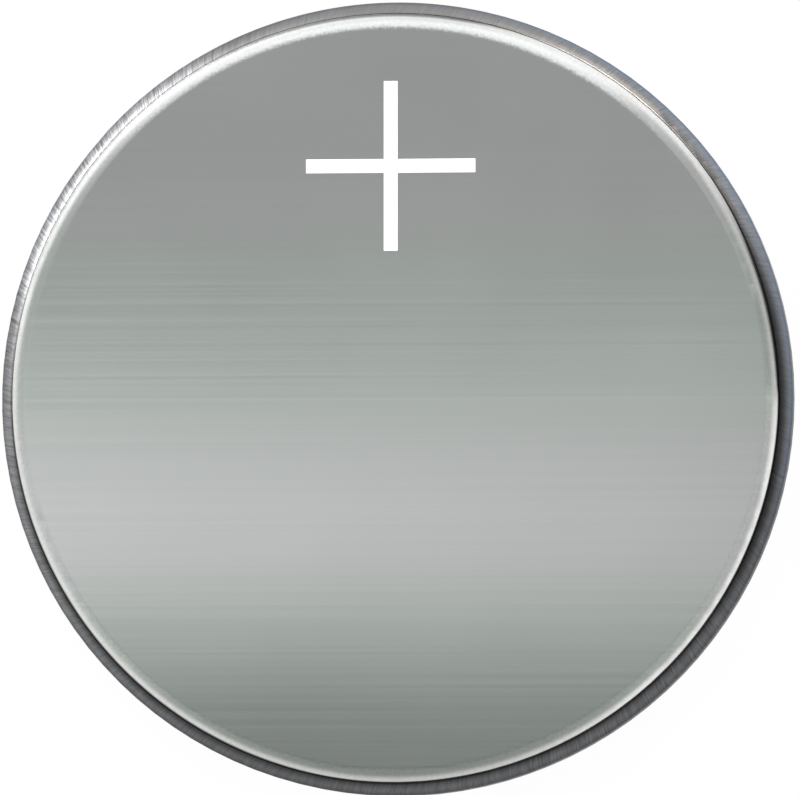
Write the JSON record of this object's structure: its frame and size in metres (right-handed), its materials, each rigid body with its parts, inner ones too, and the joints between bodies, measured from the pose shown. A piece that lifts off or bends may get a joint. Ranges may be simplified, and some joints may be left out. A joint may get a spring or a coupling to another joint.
{
  "type": "lithium coin cell",
  "caption": "Flat round lithium coin cell: steel can with a raised brushed face and a white plus sign, rounded shoulder, crimped lip, gasket, and stepped negative cap.",
  "frame": {"origin": "centre of the negative contact face, which the cell rests on", "axes": "+Z along the cell's axis, out of the positive face; +Y towards the plus sign, which is up in the picture"},
  "size_m": [0.023, 0.023, 0.002],
  "materials": {
    "can_steel": "straight brushed on the face, drawn and dull on the shoulder and wall",
    "white_ink": "matte white print",
    "mesh_steel": "plain expanded sheet",
    "cathode_mix": "matte pressed powder",
    "nonwoven": "thin white nonwoven",
    "lithium": "dull soft metal",
    "gasket_plastic": "milky unpigmented polypropylene",
    "cap_steel": "satin"
  },
  "bodies": {
    "root": {"positive_can": "can_steel", "plus_mark": "white_ink", "collector_mesh": "mesh_steel", "cathode_pellet": "cathode_mix", "separator": "nonwoven", "lithium_disc": "lithium", "gasket": "gasket_plastic", "negative_cap": "cap_steel"}
  },
  "joints": []
}
